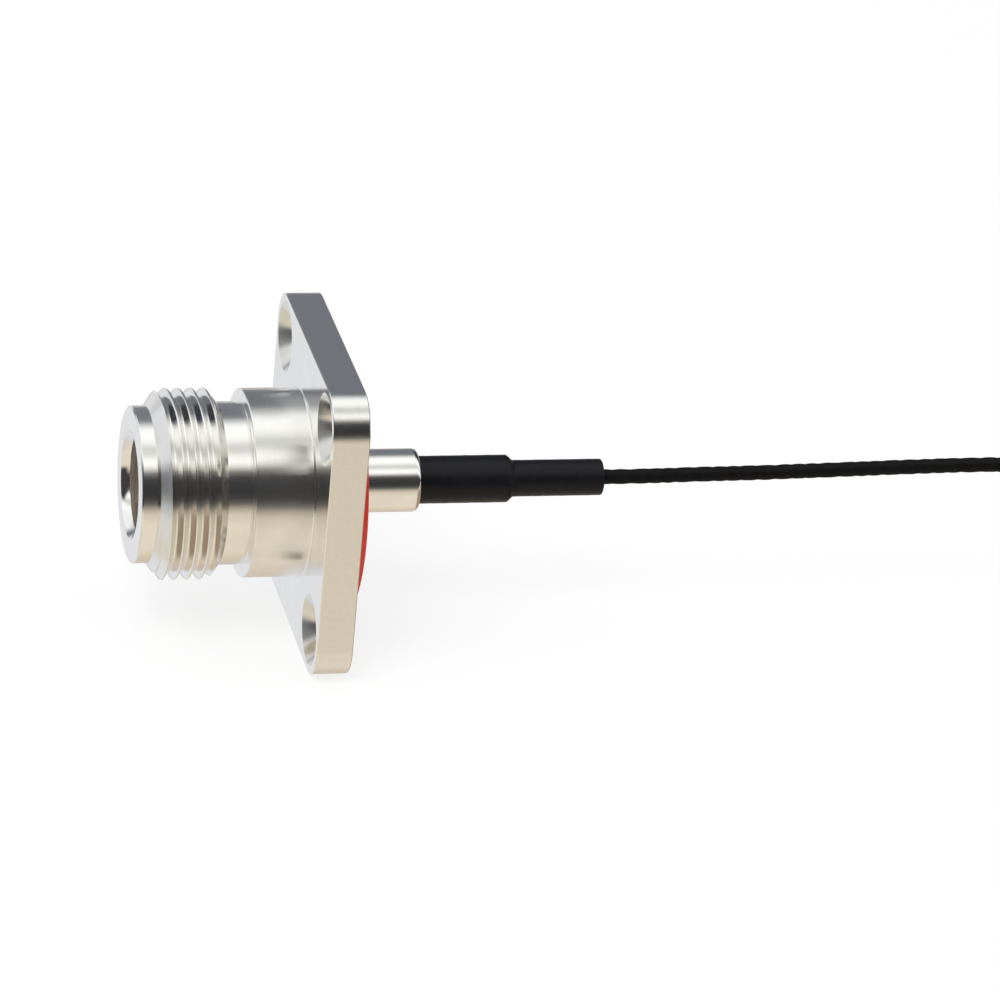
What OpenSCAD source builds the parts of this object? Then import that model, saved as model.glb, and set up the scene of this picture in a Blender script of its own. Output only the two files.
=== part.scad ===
// Flanged coaxial panel jack, type N, with a micro coaxial lead and a push-fit plug.
// Millimetres. The origin is the centre of the flange's rear face, which seats on the panel.
// +X runs along the axis towards the lead, so the threaded mouth opens towards -X. +Z is up.

/* [Body] */
// Length of the body, from its front face to the flange's rear face
body_len = 17.1; // [16.5:0.05:22]

/* [Flange] */
// Side of the square flange
flange_w = 25.4; // [25.2:0.1:30]
// Thickness of the flange
flange_t = 3.04; // [2.6:0.02:5]
// Radius of the flange's four corners
flange_corner_r = 3.3; // [1:0.1:4]
// Distance between screw holes along each side
hole_spacing = 18.26; // [18.1:0.02:19]
// Diameter of the screw holes
hole_d = 3.2; // [2.2:0.1:3.4]
// Diameter of the counterbores for the screw heads
counterbore_d = 6; // [4.5:0.1:6.4]
// Depth of the counterbores
counterbore_depth = 1.5; // [0.8:0.1:1.6]

/* [Barrel] */
// Diameter of the plain barrel in front of the flange
barrel_d = 15.74; // [15:0.02:17]
// Length of the plain barrel
barrel_len = 4.86; // [3:0.02:8]
// Chamfer on the barrel's front edge
barrel_chamfer = 0.22; // [0.1:0.02:0.4]
// Radius of the fillet between barrel and flange
barrel_fillet_r = 0.25; // [0.1:0.05:0.5]
// Diameter of the relief neck behind the thread
neck_d = 13.55; // [12.5:0.05:14.4]
// Length of the relief neck
neck_len = 2.1; // [1:0.05:4]

/* [Thread] */
// Major diameter of the coupling thread, 5/8 inch
thread_d = 15.875; // [15.5:0.005:16.2]
// Pitch of the coupling thread, 24 turns to the inch
thread_pitch = 1.0583; // [0.9:0.0001:1.1]
// Length of the lead-in chamfer at the front of the thread
thread_lead = 0.6; // [0.4:0.05:1]

/* [Mouth] */
// Diameter of the plain rim in front of the thread
rim_d = 13.04; // [12:0.02:13.8]
// Length of the rim
rim_len = 1.3; // [0.6:0.05:3]
// Chamfer on the rim's outer edge
rim_chamfer = 0.12; // [0.05:0.01:0.3]
// Bore that guides the mating plug
mouth_d = 8.13; // [8:0.01:8.6]
// Depth from the front face to the reference plane
mouth_depth = 9.1; // [8:0.05:10]
// Width of the chamfer round the mouth
mouth_chamfer = 0.43; // [0.1:0.01:0.6]
// Depth of the chamfer round the mouth
mouth_chamfer_len = 0.6; // [0.1:0.05:1]
// Inner diameter of the outer conductor behind the reference plane
line_d = 7; // [6.4:0.02:7.4]
// Length of the outer conductor's narrow land
line_land = 1.2; // [0.8:0.1:2]
// Bore of the insulator chamber, open to the rear
chamber_d = 9; // [8.2:0.05:9.2]

/* [Centre contact] */
// Outer diameter of the socket fingers
contact_d = 3.04; // [2.8:0.02:3.2]
// Width of the chamfer round the contact's tip
tip_chamfer = 0.2; // [0.1:0.02:0.3]
// Diameter of the socket's hole
socket_d = 1.65; // [1.5:0.01:1.8]
// Depth of the socket's hole
socket_depth = 4.6; // [4:0.1:5]
// Setback of the contact's tip behind the front face
contact_setback = 4.1; // [3.6:0.1:5]
// Width of the four slots between the fingers
slot_w = 0.25; // [0.15:0.01:0.3]
// Length of the slots
slot_len = 4; // [3:0.1:4.2]
// Diameter of the contact's shank inside the insulator
shank_d = 2.1; // [1.8:0.05:2.4]
// Diameter of the collar that the two insulators hold
collar_d = 3; // [2.6:0.05:4]
// Thickness of the collar
collar_t = 0.8; // [0.5:0.05:1.2]
// Length of the insulator between the collar and the rear sleeve's head
collar_back = 2.1; // [1.4:0.1:3]
// Diameter of the solder pot
pot_d = 1.6; // [1.4:0.05:1.8]
// Length of the solder pot behind the collar
pot_len = 5.2; // [4:0.1:6]
// Depth of the pot's hole for the lead's inner conductor
pot_hole_depth = 2.4; // [1.5:0.1:3]

/* [Rear sleeve] */
// Outer diameter of the spigot behind the flange
spigot_d = 5.31; // [4.8:0.01:6]
// Length of the spigot
spigot_len = 7.1; // [5:0.1:12]
// Radius of the spigot's rounded end
spigot_round = 0.45; // [0.2:0.05:0.6]
// Thickness of the head pressed into the flange
head_t = 3; // [2.4:0.05:3.4]
// Bore for the rear insulator's tail
tail_bore_d = 3.2; // [3:0.05:3.6]
// Depth of that bore, from the head's front face
tail_bore_depth = 4.5; // [4:0.1:5.5]
// Outer diameter of the crimp stem
stem_d = 1.7; // [1.5:0.05:1.8]
// Bore of the crimp stem
stem_bore_d = 0.8; // [0.75:0.01:1]
// Length of the crimp stem behind the spigot
stem_len = 5.8; // [4:0.1:8]

/* [Flange seal] */
// Side of the seal's square section
seal_section = 1.6; // [1.2:0.05:1.65]
// Diameter of the seal at the middle of its section
seal_mean_d = 20.5; // [20:0.05:20.55]
// Height of the seal that stands out of its groove
seal_proud = 0.8; // [0.4:0.05:0.9]
// Chamfer on the seal's rear edges
seal_chamfer = 0.15; // [0.05:0.05:0.3]

/* [Ferrule, sleeve and heat shrink] */
// Outer diameter of the crimp ferrule
ferrule_d = 3.5; // [3:0.05:3.8]
// Length of the crimp ferrule
ferrule_len = 7.7; // [6.6:0.1:9]
// Outer diameter of the filler sleeve on the lead
filler_d = 2.55; // [2.2:0.05:2.9]
// Length of the heat-shrink tube
shrink_len = 15.9; // [12:0.1:20]
// Wall of the shrunk tube
shrink_wall = 0.27; // [0.2:0.01:0.5]
// Length of the taper behind the ferrule
shrink_taper = 0.65; // [0.4:0.05:1.2]

/* [Lead] */
// Diameter of the lead's jacket
lead_d = 1.3; // [1.2:0.02:1.4]
// Diameter over the lead's braid
braid_d = 1.05; // [0.95:0.01:1.1]
// Diameter of the lead's inner insulation
dielectric_d = 0.7; // [0.6:0.01:0.74]
// Diameter of the lead's inner conductor
conductor_d = 0.3; // [0.2:0.01:0.35]
// Length over which the braid flares from the jacket's cut end to the crimp stem
braid_flare = 0.4; // [0.3:0.05:0.8]
// Distance from the heat shrink to the middle of the coil's tie
lead_run = 53; // [50:0.1:62]
// Height of the lead's arch above the axis
lead_rise = 0.56; // [0.3:0.02:1]

/* [Lead coil] */
// Diameter of the coil at the middle of its turns
coil_mean_d = 14; // [13:0.5:15.6]
// Turns stacked in the coil
coil_turns = 2; // [2:1:3]
// Width of the tie along the lead
tie_w = 2; // [1.6:0.1:2.6]
// Thickness of the tie's band
tie_t = 0.3; // [0.2:0.05:0.5]
// Width of the tie's head across the lead
tie_head_w = 1.8; // [1.4:0.1:2.4]
// Height of the tie's head above the turns
tie_head_h = 1.4; // [1:0.1:2]
// Length of the lead from the tie to its end in the plug
tail_len = 9; // [7:0.5:14]

/* [Plug] */
// Outer diameter of the plug's cup
cup_d = 3; // [2.8:0.05:3.4]
// Height of the plug's cup
cup_h = 1.7; // [1.5:0.05:2]
// Wall of the plug's cup
cup_wall = 0.22; // [0.15:0.01:0.3]
// Length of the crimp that holds the lead
plug_crimp_len = 2; // [1.5:0.1:3]
// Wall of the plug's crimp
plug_crimp_wall = 0.25; // [0.15:0.05:0.3]
// Thickness of the plug's insulator
plug_insulator_t = 0.75; // [0.6:0.05:0.9]
// Diameter of the plug's contact tube
plug_contact_d = 0.8; // [0.7:0.05:1]
// Bore of the plug's contact tube
plug_contact_bore = 0.45; // [0.4:0.05:0.6]
// Depth of the contact's top below the cup's rim
plug_contact_setback = 0.35; // [0.2:0.05:0.5]
// Thickness of the insulator under the contact
plug_contact_foot = 0.2; // [0.1:0.05:0.3]

/* [Hidden] */

$fn = 96;

// Colours
nickel = [0.80, 0.79, 0.76];
gold = [0.86, 0.66, 0.30];
ptfe = [0.94, 0.94, 0.92];
seal_red = [0.80, 0.12, 0.08];
black = [0.06, 0.06, 0.06];
tinned = [0.70, 0.70, 0.70];

// Clearances
contact_fit = 0.02;       // insulator bores round the contact, on the radius
seal_fit = 0.04;          // seal groove round the seal, on the radius
conductor_fit = 0.05;     // solder pot round the inner conductor, on the radius
through = 1;              // how far a cut runs past the face it opens

// Stations along the axis, from the flange's rear face forwards
flange_front = -flange_t;
barrel_front = flange_front - barrel_len;
neck_front = barrel_front - neck_len;
front_face = -body_len;
thread_front = front_face + rim_len;
reference_plane = front_face + mouth_depth;
chamber_front = reference_plane + line_land;
head_front = -head_t;
contact_tip = front_face + contact_setback;

// Contact, collar and solder pot
collar_rear = head_front - collar_back;
collar_front = collar_rear - collar_t;
pot_rear = collar_rear + pot_len;
pot_hole_d = conductor_d + 2 * conductor_fit;

// Rear parts
tail_rear = head_front + tail_bore_depth;
stem_rear = spigot_len + stem_len;
ferrule_rear = spigot_len + ferrule_len;
shrink_rear = spigot_len + shrink_len;
jacket_cut = stem_rear + braid_flare;
braid_wrap_d = stem_d + (braid_d - dielectric_d);
nose_d = braid_wrap_d;

// Thread form: 60 degree V, crest flat of pitch/8 and root flat of pitch/4
crest_flat = thread_pitch / 8;
groove_floor = thread_pitch / 4;
flank = (thread_pitch - crest_flat - groove_floor) / 2;
root_d = thread_d - 2 * flank / tan(30);
first_groove = thread_front + thread_lead + crest_flat;
groove_count = floor((neck_front - first_groove - flank) / thread_pitch);

// Seal groove
groove_depth = seal_section - seal_proud;
groove_w = seal_section + 2 * seal_fit;

// The coil lies level with the flange's lower edge
floor_z = -flange_w / 2;                    // the surface that the coil lies on
coil_base = floor_z + tie_t;                // underside of the lowest turn
coil_h = coil_turns * lead_d;               // height of the stacked turns
coil_top = coil_base + coil_h;
turn_low_z = coil_base + lead_d / 2;        // middle of the lowest turn
turn_high_z = coil_top - lead_d / 2;        // middle of the highest turn
tie_x = shrink_rear + lead_run;
tie_front = tie_x - tie_w / 2;
tie_rear = tie_x + tie_w / 2;
// Shares of the run, of the rise over the axis and of the drop to the coil's top turn
lead_form = [
    [0.0602, 0, 0], [0.1165, 0.0893, 0], [0.1729, 0.1786, 0], [0.2293, 0.2321, 0],
    [0.2857, 0.3214, 0], [0.3421, 0.4464, 0], [0.3985, 0.5714, 0], [0.4549, 0.7143, 0],
    [0.5113, 0.8393, 0], [0.5677, 0.9464, 0], [0.6241, 1, 0], [0.6711, 0.8929, 0],
    [0.7124, 0, 0], [0.7462, 0, 0.1148], [0.7726, 0, 0.2775], [0.7951, 0, 0.4593],
    [0.8195, 0, 0.6411], [0.8496, 0, 0.8038], [0.8872, 0, 0.9187], [0.9323, 0, 0.9809]
];
lead_route = [for (p = lead_form)
    [shrink_rear + p[0] * lead_run, 0, p[1] * lead_rise + p[2] * turn_high_z]];
coil_r = coil_mean_d / 2;
coil_y = -coil_r - lead_d;
tie_slack = 0.25;

// The plug, which lies behind the tie with its mouth up
lead_end = tie_front + tail_len;
cup_x = lead_end + cup_d / 2;
plug_crimp_d = lead_d + 2 * plug_crimp_wall;
cup_bore_d = cup_d - 2 * cup_wall;
cup_floor = floor_z + cup_wall;
plug_face = cup_floor + plug_insulator_t;
plug_contact_seat = cup_floor + plug_contact_foot;
plug_contact_top = floor_z + cup_h - plug_contact_setback;
plug_passage_d = dielectric_d;

// A bar, ring or cup turned round the X axis from a profile of [x, radius] points.
module turned(points) {
    rotate([0, 90, 0])
        rotate_extrude()
            polygon([for (p = points) [p[1], p[0]]]);
}

// A straight cylinder along X from one station to the next.
module rod(d, from, to) {
    translate([from, 0, 0])
        rotate([0, 90, 0])
            cylinder(d = d, h = to - from);
}

// A square with round corners, in the plane across the axis.
module rounded_square(side, r) {
    square([side - 2 * r, side], center = true);
    square([side, side - 2 * r], center = true);
    for (u = [-1, 1], v = [-1, 1])
        translate([u * (side / 2 - r), v * (side / 2 - r)])
            circle(r = r);
}

module at_holes() {
    for (u = [-1, 1], v = [-1, 1])
        translate([0, u * hole_spacing / 2, v * hole_spacing / 2])
            children();
}

// One V groove of the thread, from crest to crest.
function groove_points(i) =
    let (x = first_groove + i * thread_pitch)
    [[x, thread_d / 2],
     [x + flank, root_d / 2],
     [x + flank + groove_floor, root_d / 2],
     [x + 2 * flank + groove_floor, thread_d / 2]];

// Rim, thread, neck and barrel in one profile. The last groove runs out into the neck.
module outer_form() {
    run_out = first_groove + groove_count * thread_pitch;
    turned(concat(
        [[front_face, 0],
         [front_face, rim_d / 2 - rim_chamfer],
         [front_face + rim_chamfer, rim_d / 2],
         [thread_front, rim_d / 2],
         [thread_front, root_d / 2],
         [thread_front + thread_lead, thread_d / 2]],
        [for (i = [0 : groove_count - 1]) each groove_points(i)],
        [[run_out, thread_d / 2],
         [run_out + flank, root_d / 2],
         [neck_front, root_d / 2],
         [neck_front, neck_d / 2],
         [barrel_front, neck_d / 2],
         [barrel_front, barrel_d / 2 - barrel_chamfer],
         [barrel_front + barrel_chamfer, barrel_d / 2],
         [flange_front, barrel_d / 2],
         [flange_front, 0]]));
}

// The small cove where the barrel runs into the flange.
module barrel_fillet() {
    rotate([0, 90, 0])
        rotate_extrude()
            difference() {
                translate([barrel_d / 2, flange_front - barrel_fillet_r])
                    square(barrel_fillet_r);
                translate([barrel_d / 2 + barrel_fillet_r, flange_front - barrel_fillet_r])
                    circle(r = barrel_fillet_r);
            }
}

module flange_plate() {
    translate([flange_front, 0, 0])
        rotate([0, 90, 0])
            linear_extrude(flange_t)
                rounded_square(flange_w, flange_corner_r);
}

// Mouth, reference plane, narrow land and insulator chamber, cut as one profile.
module body_bores() {
    turned([
        [front_face - through, 0],
        [front_face - through, mouth_d / 2 + mouth_chamfer],
        [front_face, mouth_d / 2 + mouth_chamfer],
        [front_face + mouth_chamfer_len, mouth_d / 2],
        [reference_plane, mouth_d / 2],
        [reference_plane, line_d / 2],
        [chamber_front, line_d / 2],
        [chamber_front, chamber_d / 2],
        [through, chamber_d / 2],
        [through, 0]]);
}

module seal_groove() {
    turned([
        [-groove_depth, (seal_mean_d - groove_w) / 2],
        [-groove_depth, (seal_mean_d + groove_w) / 2],
        [through, (seal_mean_d + groove_w) / 2],
        [through, (seal_mean_d - groove_w) / 2]]);
}

// One machined and nickel-plated brass piece: rim, thread, barrel and square flange.
module jack_body() {
    color(nickel)
        difference() {
            union() {
                outer_form();
                barrel_fillet();
                flange_plate();
            }
            body_bores();
            seal_groove();
            at_holes() {
                rod(hole_d, flange_front - through, through);
                rod(counterbore_d, flange_front - through, flange_front + counterbore_depth);
            }
        }
}

// PTFE bead with a nose in the narrow land and a recess for the contact's collar.
module front_insulator() {
    color(ptfe)
        difference() {
            union() {
                rod(line_d, reference_plane, chamber_front);
                rod(chamber_d, chamber_front, collar_rear);
            }
            rod(shank_d + 2 * contact_fit, reference_plane - through, collar_rear);
            rod(collar_d + 2 * contact_fit, collar_front, collar_rear + through);
        }
}

// Socket with four spring fingers, a shank, a collar and a solder pot, turned from one bar.
module centre_contact() {
    color(gold)
        difference() {
            union() {
                turned([
                    [contact_tip, 0],
                    [contact_tip, contact_d / 2 - tip_chamfer],
                    [contact_tip + tip_chamfer, contact_d / 2],
                    [reference_plane, contact_d / 2],
                    [reference_plane, 0]]);
                rod(shank_d, reference_plane, collar_front);
                rod(collar_d, collar_front, collar_rear);
                rod(pot_d, collar_rear, pot_rear);
            }
            rod(socket_d, contact_tip - through, contact_tip + socket_depth);
            rod(pot_hole_d, pot_rear - pot_hole_depth, pot_rear + through);
            for (turn = [0, 90])
                rotate([turn, 0, 0])
                    translate([contact_tip - through, -contact_d, -slot_w / 2])
                        cube([slot_len + through, 2 * contact_d, slot_w]);
        }
}

// PTFE bead behind the collar, with a tail round the solder pot.
module rear_insulator() {
    color(ptfe)
        difference() {
            union() {
                rod(chamber_d, collar_rear, head_front);
                rod(tail_bore_d, head_front, tail_rear);
            }
            rod(pot_d + 2 * contact_fit, collar_rear - through, tail_rear + through);
        }
}

// Turned sleeve: head pressed into the flange, plain spigot with a rounded end, crimp stem.
module rear_sleeve() {
    color(nickel)
        difference() {
            union() {
                rod(chamber_d, head_front, 0);
                rotate([0, 90, 0])
                    rotate_extrude() {
                        square([spigot_d / 2, spigot_len - spigot_round]);
                        square([spigot_d / 2 - spigot_round, spigot_len]);
                        translate([spigot_d / 2 - spigot_round, spigot_len - spigot_round])
                            circle(r = spigot_round);
                    }
                rod(stem_d, spigot_len, stem_rear);
            }
            rod(tail_bore_d, head_front - through, tail_rear);
            rod(stem_bore_d, 0, stem_rear + through);
        }
}

// Silicone ring of square section, seated on the floor of its groove.
module flange_seal() {
    inner_r = (seal_mean_d - seal_section) / 2;
    outer_r = (seal_mean_d + seal_section) / 2;
    color(seal_red)
        turned([
            [-groove_depth, inner_r],
            [-groove_depth, outer_r],
            [seal_proud - seal_chamfer, outer_r],
            [seal_proud, outer_r - seal_chamfer],
            [seal_proud, inner_r + seal_chamfer],
            [seal_proud - seal_chamfer, inner_r]]);
}

// Tube crimped over the braid and the stem.
module crimp_ferrule() {
    color(nickel)
        difference() {
            rod(ferrule_d, spigot_len, ferrule_rear);
            rod(braid_wrap_d, spigot_len - through, ferrule_rear + through);
        }
}

// Tube that builds the thin lead up for the heat shrink; its nose sits in the ferrule.
module filler_sleeve() {
    color(black)
        difference() {
            union() {
                rod(nose_d, jacket_cut, ferrule_rear);
                rod(filler_d, ferrule_rear, shrink_rear);
            }
            rod(lead_d, jacket_cut - through, shrink_rear + through);
        }
}

// Tube shrunk over the ferrule and the filler sleeve, with a taper where it steps down.
module heat_shrink() {
    thick_r = ferrule_d / 2 + shrink_wall;
    thin_r = filler_d / 2 + shrink_wall;
    color(black)
        turned([
            [spigot_len, ferrule_d / 2],
            [spigot_len, thick_r],
            [ferrule_rear, thick_r],
            [ferrule_rear + shrink_taper, thin_r],
            [shrink_rear, thin_r],
            [shrink_rear, filler_d / 2],
            [ferrule_rear, filler_d / 2],
            [ferrule_rear, ferrule_d / 2]]);
}

// Stripped end of the lead: the inner conductor, from the bottom of the solder pot.
module cable_conductor() {
    color("peru")
        rod(conductor_d, pot_rear - pot_hole_depth, jacket_cut);
}

// Stripped end of the lead: the inner insulation, from the solder pot to the jacket.
module cable_dielectric() {
    color(ptfe)
        difference() {
            rod(dielectric_d, pot_rear, jacket_cut);
            rod(conductor_d, pot_rear - through, jacket_cut + through);
        }
}

// Stripped end of the lead: the braid, flared from the lead over the crimp stem.
module cable_braid() {
    color(tinned)
        turned([
            [spigot_len, stem_d / 2],
            [spigot_len, braid_wrap_d / 2],
            [stem_rear, braid_wrap_d / 2],
            [jacket_cut, braid_d / 2],
            [jacket_cut, dielectric_d / 2],
            [stem_rear, stem_d / 2]]);
}

// Sweep of an eight-sided ring of points along a route.
function unit(v) = v / norm(v);
function heading(route, i) =
    unit(route[min(i + 1, len(route) - 1)] - route[max(i - 1, 0)]);
function ring_at(route, i, r, sides) =
    let (t = heading(route, i),
         side = unit(cross([0, 0, 1], t)),
         up = cross(t, side))
    [for (k = [0 : sides - 1])
        let (a = 360 * (k + 0.5) / sides)
        route[i] + r * (cos(a) * side + sin(a) * up)];

module swept_tube(route, d, sides = 8) {
    last = len(route) - 1;
    points = [for (i = [0 : last]) each ring_at(route, i, d / 2, sides)];
    walls = [for (i = [0 : last - 1], k = [0 : sides - 1])
        let (a = i * sides + k, b = i * sides + (k + 1) % sides)
        [a, a + sides, b + sides, b]];
    start = [for (k = [0 : sides - 1]) k];
    end = [for (k = [sides - 1 : -1 : 0]) last * sides + k];
    polyhedron(points, concat([start], walls, [end]));
}

// The lead, from its cut jacket inside the ferrule to the far side of the tie.
module cable() {
    color(black)
        swept_tube(concat(
            [[jacket_cut, 0, 0], [ferrule_rear, 0, 0], [shrink_rear, 0, 0]],
            lead_route,
            [[tie_front, 0, turn_high_z], [tie_rear, 0, turn_high_z]]), lead_d);
}

// The closed outer form of the turns.
module cable_coil() {
    color(black)
        translate([tie_x, coil_y, coil_base])
            rotate_extrude()
                translate([coil_r - lead_d / 2, 0])
                    square([lead_d, coil_h]);
}

// Band round the turns and both ends of the lead, closed by a small head on top.
module coil_tie() {
    inner_y = -1.5 * lead_d - tie_slack;
    outer_y = lead_d / 2;
    span = outer_y - inner_y;
    color(black)
        difference() {
            union() {
                translate([tie_front, inner_y - tie_t, floor_z])
                    cube([tie_w, span + 2 * tie_t, coil_h + 2 * tie_t]);
                translate([tie_front, outer_y - span / 2 - tie_head_w / 2, coil_top])
                    cube([tie_w, tie_head_w, tie_head_h]);
            }
            translate([tie_front - through, inner_y, coil_base])
                cube([tie_w + 2 * through, span, coil_h]);
        }
}

// The lead's last stretch, from the tie into the plug's crimp.
module cable_tail() {
    color(black)
        translate([0, 0, turn_low_z])
            rod(lead_d, tie_front, lead_end);
}

// Formed cup with the crimp that holds the lead, in one piece.
module plug_shell() {
    color(gold)
        difference() {
            union() {
                translate([cup_x, 0, floor_z])
                    cylinder(d = cup_d, h = cup_h);
                translate([0, 0, turn_low_z])
                    rod(plug_crimp_d, lead_end - plug_crimp_len, cup_x);
            }
            translate([cup_x, 0, cup_floor])
                cylinder(d = cup_bore_d, h = cup_h);
            translate([0, 0, turn_low_z]) {
                rod(lead_d, lead_end - plug_crimp_len - through, lead_end);
                rod(plug_passage_d, lead_end, cup_x);
            }
        }
}

// Disc that carries the contact in the middle of the cup.
module plug_insulator() {
    color(ptfe)
        difference() {
            translate([cup_x, 0, cup_floor])
                cylinder(d = cup_bore_d, h = plug_insulator_t);
            plug_contact_form();
        }
}

// Socket tube with the tail that the lead's inner conductor is soldered to.
module plug_contact_form() {
    translate([cup_x, 0, plug_contact_seat])
        cylinder(d = plug_contact_d, h = plug_contact_top - plug_contact_seat);
    translate([0, 0, turn_low_z])
        rod(conductor_d, lead_end, cup_x);
}

module plug_contact() {
    color(gold)
        difference() {
            plug_contact_form();
            translate([cup_x, 0, plug_face])
                cylinder(d = plug_contact_bore, h = cup_h);
        }
}

jack_body();
front_insulator();
centre_contact();
rear_insulator();
rear_sleeve();
flange_seal();
crimp_ferrule();
filler_sleeve();
heat_shrink();
cable_conductor();
cable_dielectric();
cable_braid();
cable();
cable_coil();
coil_tie();
cable_tail();
plug_shell();
plug_insulator();
plug_contact();
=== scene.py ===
"""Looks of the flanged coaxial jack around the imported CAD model, in metres."""
import math
import bmesh
import bpy
from mathutils import Matrix, Vector


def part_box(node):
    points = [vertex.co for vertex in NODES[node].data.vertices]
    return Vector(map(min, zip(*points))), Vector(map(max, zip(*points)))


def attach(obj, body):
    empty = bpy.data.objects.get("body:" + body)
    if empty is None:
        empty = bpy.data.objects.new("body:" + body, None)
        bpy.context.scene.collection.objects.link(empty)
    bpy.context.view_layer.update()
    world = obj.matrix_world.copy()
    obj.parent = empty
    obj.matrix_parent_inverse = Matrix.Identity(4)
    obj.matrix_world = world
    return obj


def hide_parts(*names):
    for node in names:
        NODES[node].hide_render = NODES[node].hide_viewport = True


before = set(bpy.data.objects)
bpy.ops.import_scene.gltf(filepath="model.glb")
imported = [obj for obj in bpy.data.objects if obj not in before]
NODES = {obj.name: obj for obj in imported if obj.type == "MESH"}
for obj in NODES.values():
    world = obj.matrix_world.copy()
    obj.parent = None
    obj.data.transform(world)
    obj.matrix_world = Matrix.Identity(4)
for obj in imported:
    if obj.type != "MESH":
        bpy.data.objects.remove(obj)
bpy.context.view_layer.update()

MM = 0.001
BODY = "root"


# ---------------------------------------------------------------- camera
# The camera's right and back directions in the part's frame, and its place along right, up, back
CAMERA_RIGHT = (0.97351, -0.21192, 0.08579)
CAMERA_BACK = (-0.22802, -0.87256, 0.43204)
CAMERA_ALONG = (13.93 * MM, -1.569 * MM, 444.0 * MM)
CAMERA_LENS, CAMERA_SENSOR = 191.88, 36.0


def make_camera():
    """The photograph's viewpoint, fitted to the flange's edges and the thread."""
    right, back = Vector(CAMERA_RIGHT), Vector(CAMERA_BACK)
    right = (right - right.dot(back) * back).normalized()
    back.normalize()
    up = back.cross(right)
    place = CAMERA_ALONG[0] * right + CAMERA_ALONG[1] * up + CAMERA_ALONG[2] * back
    data = bpy.data.cameras.new("camera")
    data.sensor_width = CAMERA_SENSOR
    data.lens = CAMERA_LENS
    data.clip_start, data.clip_end = 0.01, 100.0
    cam = bpy.data.objects.new("camera", data)
    cam.matrix_world = Matrix((
        (right.x, up.x, back.x, place.x),
        (right.y, up.y, back.y, place.y),
        (right.z, up.z, back.z, place.z),
        (0, 0, 0, 1)))
    bpy.context.scene.collection.objects.link(cam)
    bpy.context.scene.camera = cam


# ---------------------------------------------------------------- places from the CAD
shell_lo, shell_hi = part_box("jack_body")
sleeve_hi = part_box("rear_sleeve")[1]
shrink_lo, shrink_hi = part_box("heat_shrink")
ferrule_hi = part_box("crimp_ferrule")[1]
seal_lo, seal_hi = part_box("flange_seal")
tie_lo, tie_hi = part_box("coil_tie")
coil_lo, coil_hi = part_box("cable_coil")
tail_lo, tail_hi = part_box("cable_tail")

LEAD_D = tail_hi.z - tail_lo.z
FLOOR_Z = shell_lo.z
TURN_LOW = (tail_hi.z + tail_lo.z) / 2
TURN_HIGH = TURN_LOW + LEAD_D
TIE_X = (tie_lo.x + tie_hi.x) / 2
COIL_R = (coil_hi.x - coil_lo.x) / 2 - LEAD_D / 2
COIL_Y = (coil_hi.y + coil_lo.y) / 2


def smooth(t):
    """0 up to t = 0, 1 from t = 1 on, with a soft step in between."""
    t = max(0.0, min(1.0, t))
    return t * t * (3 - 2 * t)


def new_object(name, bm):
    """A smooth-shaded object in the scene from a bmesh, which it uses up."""
    mesh = bpy.data.meshes.new(name)
    bm.to_mesh(mesh)
    bm.free()
    for p in mesh.polygons:
        p.use_smooth = True
    obj = bpy.data.objects.new(name, mesh)
    bpy.context.scene.collection.objects.link(obj)
    return obj


# ---------------------------------------------------------------- the lead
# The lead's points along the axis and above it in mm, chosen for a heat shrink that ends
# at LEAD_FROM, a tie at LEAD_TO and a coil's upper turn at LEAD_DROP. The part's source has the
# same points, as shares of these lengths
LEAD_POINTS = [
    (26, 0), (29, 0.05), (32, 0.1), (35, 0.13), (38, 0.18), (41, 0.25), (44, 0.32),
    (47, 0.4), (50, 0.47), (53, 0.53), (56, 0.56), (58.5, 0.5), (60.7, 0), (62.5, -1.2),
    (63.9, -2.9), (65.1, -4.8), (66.4, -6.7), (68, -8.4), (70, -9.6), (72.4, -10.25)]
LEAD_FROM, LEAD_TO, LEAD_DROP = 22.8, 76, -10.45
LEAD_INSIDE = 0.9 * MM
LEAD_STEP = 0.18 * MM
LEAD_SIDES = 24
COIL_TURNS = 2


def catmull(points, step):
    """A smooth line through the points, with about one point per step."""
    out = []
    pts = [Vector(p) for p in points]
    pts = [2 * pts[0] - pts[1]] + pts + [2 * pts[-1] - pts[-2]]
    for a, b, c, d in zip(pts, pts[1:], pts[2:], pts[3:]):
        ta = 0.0
        tb = ta + math.sqrt((b - a).length)
        tc = tb + math.sqrt((c - b).length)
        td = tc + math.sqrt((d - c).length)
        n = max(1, round((c - b).length / step))
        for k in range(n):
            t = tb + (tc - tb) * k / n
            a1 = a * ((tb - t) / (tb - ta)) + b * ((t - ta) / (tb - ta))
            a2 = b * ((tc - t) / (tc - tb)) + c * ((t - tb) / (tc - tb))
            a3 = c * ((td - t) / (td - tc)) + d * ((t - tc) / (td - tc))
            b1 = a1 * ((tc - t) / (tc - ta)) + a2 * ((t - ta) / (tc - ta))
            b2 = a2 * ((td - t) / (td - tb)) + a3 * ((t - tb) / (td - tb))
            out.append(b1 * ((tc - t) / (tc - tb)) + b2 * ((t - tb) / (tc - tb)))
    out.append(pts[-2].copy())
    return out


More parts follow.
